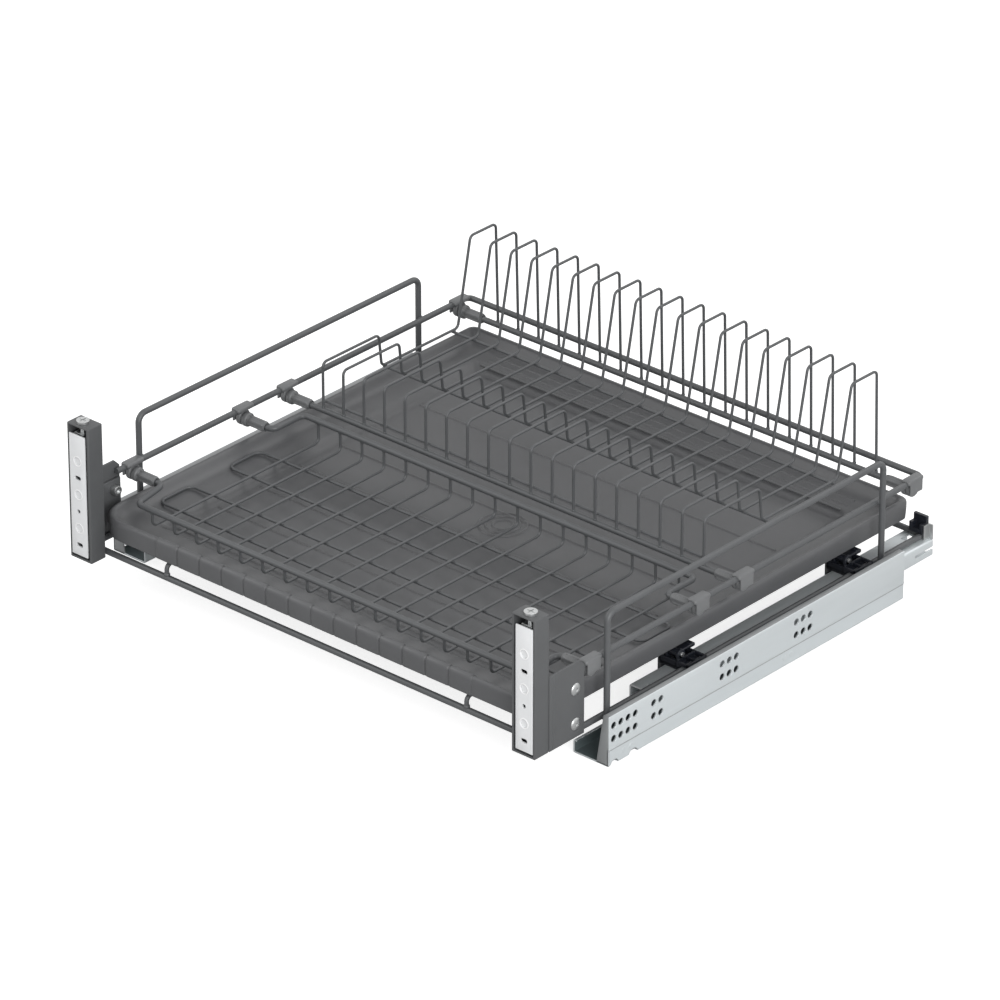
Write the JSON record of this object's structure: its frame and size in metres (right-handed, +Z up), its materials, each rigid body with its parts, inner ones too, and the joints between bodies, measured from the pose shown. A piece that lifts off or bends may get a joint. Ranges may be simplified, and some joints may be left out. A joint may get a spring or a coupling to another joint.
{
  "type": "pull-out dish rack",
  "caption": "Pull-out wire dish rack on full-extension runners, with drip tray, cup rack, plate rack and adjustable front brackets.",
  "frame": {"origin": "bottom centre of the whole rack, pushed in", "axes": "+X to the right seen from the front, +Y to the back of the cabinet, +Z up"},
  "size_m": [0.564, 0.51, 0.1823],
  "materials": {
    "painted_wire": "satin dark grey powder coat on steel rod and wire",
    "painted_sheet": "satin dark grey powder coat on folded steel",
    "tray_plastic": "semi-gloss dark grey moulded plastic",
    "clip_plastic": "semi-gloss mid grey moulded plastic",
    "black_plastic": "near-black moulded plastic",
    "zinc_sheet": "bright galvanised sheet steel",
    "bright_steel": "nickel-plated steel",
    "white_sheet": "white lacquered steel plate"
  },
  "bodies": {
    "cabinet_rails": {"cabinet_rail_left": "zinc_sheet", "cabinet_rail_right": "zinc_sheet"},
    "lower_cages": {"lower_roller_cage_left": "black_plastic", "lower_roller_cage_right": "black_plastic", "lower_rollers": "bright_steel"},
    "middle_rails": {"middle_rail_left": "zinc_sheet", "middle_rail_right": "zinc_sheet"},
    "upper_cages": {"upper_roller_cage_left": "black_plastic", "upper_roller_cage_right": "black_plastic", "upper_rollers": "bright_steel"},
    "drawer": {"drawer_rail_left": "zinc_sheet", "drawer_rail_right": "zinc_sheet", "rear_catch_left": "bright_steel", "rear_catch_right": "bright_steel", "rear_cradles": "black_plastic", "coupler_front_left": "black_plastic", "coupler_front_right": "black_plastic", "coupler_rear_left": "black_plastic", "coupler_rear_right": "black_plastic", "coupler_pins": "bright_steel", "side_rod_left": "painted_wire", "side_rod_right": "painted_wire", "front_cross_rod": "painted_wire", "rear_cross_rod": "painted_wire", "tray_supports": "painted_wire", "guard_left": "painted_wire", "guard_right": "painted_wire", "main_rail": "painted_wire", "side_plate_left": "painted_sheet", "side_plate_right": "painted_sheet", "bracket_casing_left": "painted_sheet", "bracket_casing_right": "painted_sheet", "bracket_bolts": "bright_steel"},
    "lever_front_left": {"release_lever_front_left": "painted_sheet"},
    "lever_front_right": {"release_lever_front_right": "painted_sheet"},
    "lever_rear_left": {"release_lever_rear_left": "painted_sheet"},
    "lever_rear_right": {"release_lever_rear_right": "painted_sheet"},
    "mounting_plate_left": {"front_plate_left": "white_sheet", "plate_nut_left": "bright_steel"},
    "mounting_plate_right": {"front_plate_right": "white_sheet", "plate_nut_right": "bright_steel"},
    "adjuster_left": {"adjuster_screw_left": "bright_steel"},
    "adjuster_right": {"adjuster_screw_right": "bright_steel"},
    "tray": {"drip_tray": "tray_plastic"},
    "cup_rack": {"cup_rack_front_rod": "painted_wire", "cup_rack_rear_rod": "painted_wire", "cup_rack_wires": "painted_wire", "cup_rack_cross_loops": "painted_wire", "cup_rack_clips_left": "clip_plastic", "cup_rack_clips_right": "clip_plastic"},
    "plate_rack": {"plate_rack_front_rod": "painted_wire", "plate_rack_rear_rod": "painted_wire", "plate_rack_wires": "painted_wire", "plate_rack_cross_wires": "painted_wire", "plate_rack_clips_left": "clip_plastic", "plate_rack_clips_right": "clip_plastic"}
  },
  "joints": [
    {"name": "drawer_slide", "type": "slide", "parent": "cabinet_rails", "child": "drawer", "axis": [0, -1, 0], "range_m": [0, 0.4]},
    {"name": "middle_rail_slide", "type": "slide", "parent": "cabinet_rails", "child": "middle_rails", "axis": [0, -1, 0], "range_m": [0, 0.2]},
    {"name": "lower_cage_slide", "type": "slide", "parent": "cabinet_rails", "child": "lower_cages", "axis": [0, -1, 0], "range_m": [0, 0.1]},
    {"name": "upper_cage_slide", "type": "slide", "parent": "cabinet_rails", "child": "upper_cages", "axis": [0, -1, 0], "range_m": [0, 0.3]},
    {"name": "tray_lift", "type": "slide", "parent": "drawer", "child": "tray", "axis": [0, 0, 1], "range_m": [0, 0.012]},
    {"name": "cup_rack_lift", "type": "slide", "parent": "tray", "child": "cup_rack", "axis": [0, 0, 1], "range_m": [0, 0.018]},
    {"name": "plate_rack_lift", "type": "slide", "parent": "tray", "child": "plate_rack", "axis": [0, 0, 1], "range_m": [0, 0.018]},
    {"name": "release_lever_front_left_turn", "type": "hinge", "parent": "drawer", "child": "lever_front_left", "pos_m": [-0.2445, -0.0585, 0.04215], "axis": [1, 0, 0], "range_deg": [0, 12]},
    {"name": "release_lever_front_right_turn", "type": "hinge", "parent": "drawer", "child": "lever_front_right", "pos_m": [0.2445, -0.0585, 0.04215], "axis": [1, 0, 0], "range_deg": [0, 12]},
    {"name": "release_lever_rear_left_turn", "type": "hinge", "parent": "drawer", "child": "lever_rear_left", "pos_m": [-0.2445, 0.1595, 0.04215], "axis": [1, 0, 0], "range_deg": [0, 12]},
    {"name": "release_lever_rear_right_turn", "type": "hinge", "parent": "drawer", "child": "lever_rear_right", "pos_m": [0.2445, 0.1595, 0.04215], "axis": [1, 0, 0], "range_deg": [0, 12]},
    {"name": "adjuster_left_turn", "type": "hinge", "parent": "drawer", "child": "adjuster_left", "pos_m": [-0.2515, -0.2465, 0.1576], "axis": [0, 0, 1], "range_deg": [-180, 180]},
    {"name": "mounting_plate_left_height", "type": "slide", "parent": "drawer", "child": "mounting_plate_left", "axis": [0, 0, 1], "range_m": [-0.0015, 0.0015]},
    {"name": "adjuster_right_turn", "type": "hinge", "parent": "drawer", "child": "adjuster_right", "pos_m": [0.2515, -0.2465, 0.1576], "axis": [0, 0, 1], "range_deg": [-180, 180]},
    {"name": "mounting_plate_right_height", "type": "slide", "parent": "drawer", "child": "mounting_plate_right", "axis": [0, 0, 1], "range_m": [-0.0015, 0.0015]}
  ],
  "couplings": [
    {"joint": "middle_rail_slide", "follows": "drawer_slide", "ratio": 0.5},
    {"joint": "lower_cage_slide", "follows": "drawer_slide", "ratio": 0.25},
    {"joint": "upper_cage_slide", "follows": "drawer_slide", "ratio": 0.75},
    {"joint": "adjuster_left_turn", "follows": "mounting_plate_left_height", "rad_per_m": 2094},
    {"joint": "adjuster_right_turn", "follows": "mounting_plate_right_height", "rad_per_m": 2094}
  ]
}
